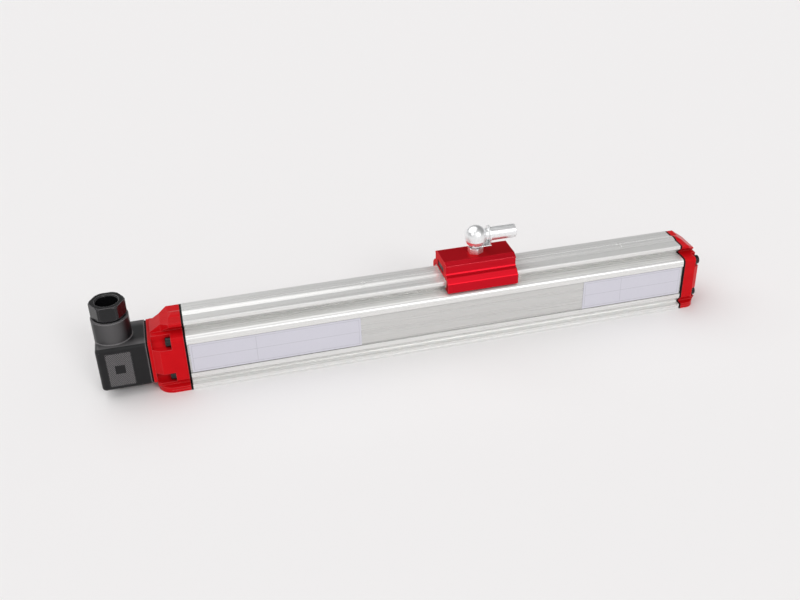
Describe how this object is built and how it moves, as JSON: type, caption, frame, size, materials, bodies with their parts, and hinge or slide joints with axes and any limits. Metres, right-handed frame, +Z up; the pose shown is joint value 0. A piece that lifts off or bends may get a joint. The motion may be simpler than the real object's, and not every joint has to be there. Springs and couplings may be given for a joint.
{
  "type": "linear position sensor",
  "caption": "Magnetostrictive linear position sensor: dovetail-rail aluminium profile, captive magnet slider with ball joint, end caps and angled cable plug.",
  "frame": {"origin": "centre of the profile's underside, half way along the extrusion", "axes": "+X along the profile, away from the cable plug; +Z up, square to the mounting face; -Y is the side with the labels"},
  "size_m": [0.3605, 0.0352, 0.0688],
  "materials": {
    "anodised_profile": "matt clear anodised extrusion",
    "red_plastic": "moulded, fine satin grain",
    "red_anodised": "satin red anodised extrusion",
    "black_plastic": "glass filled moulding",
    "black_rubber": "matt",
    "black_steel": "black oxide steel",
    "label_foil": "satin polyester foil",
    "tinned_brass": "tinned contacts",
    "plain_steel": "zinc plated or spring steel",
    "bright_zinc": "bright zinc plated steel",
    "board_green": "glass epoxy board",
    "chip_black": "moulded packages",
    "lead_blue": "insulated wire",
    "polymer_natural": "natural acetal",
    "magnet": "nickel plated magnet",
    "sleeve_rubber": "silicone"
  },
  "bodies": {
    "housing": {"profile_extrusion": "anodised_profile", "connector_gasket": "black_rubber", "blind_gasket": "black_rubber", "connector_end_cap": "red_plastic", "blind_end_cap": "red_plastic", "connector_cap_screws": "black_steel", "blind_cap_screws": "black_steel", "label_left": "label_foil", "label_right": "label_foil", "connector_flange": "red_plastic", "contact_base": "black_plastic", "contact_blades": "tinned_brass", "base_nut": "plain_steel", "plug_seal": "black_rubber", "plug_housing": "black_plastic", "terminal_insert": "black_plastic", "centre_screw": "plain_steel", "gland_seal": "black_rubber", "gland_washer": "polymer_natural", "gland_nut": "black_plastic", "circuit_board": "board_green", "board_components": "chip_black", "signal_leads": "lead_blue", "pickup_coil": "polymer_natural", "pickup_ribbon": "polymer_natural", "waveguide_wire": "plain_steel", "waveguide_tube": "plain_steel", "tube_spacers": "polymer_natural", "damping_sleeve": "sleeve_rubber", "duct_plug": "black_rubber"},
    "slider": {"slider_block": "red_anodised", "glide_liners": "polymer_natural", "magnet_carrier": "black_plastic", "position_magnets": "magnet", "ball_stud": "bright_zinc"},
    "ball_retainer": {"snap_ring": "plain_steel"},
    "ball_head": {"ball_socket": "bright_zinc", "safety_clip": "bright_zinc"}
  },
  "joints": [
    {"name": "slider_travel", "type": "slide", "parent": "housing", "child": "slider", "axis": [1, 0, 0], "range_m": [-0.15, 0.1065]},
    {"name": "ball_tilt", "type": "hinge", "parent": "slider", "child": "ball_retainer", "pos_m": [0.0218, 0, 0.0623], "axis": [0, 1, 0], "range_deg": [-15, 15]},
    {"name": "ball_swivel", "type": "hinge", "parent": "ball_retainer", "child": "ball_head", "pos_m": [0.0218, 0, 0.0623], "axis": [0, 0, 1], "continuous": true}
  ]
}
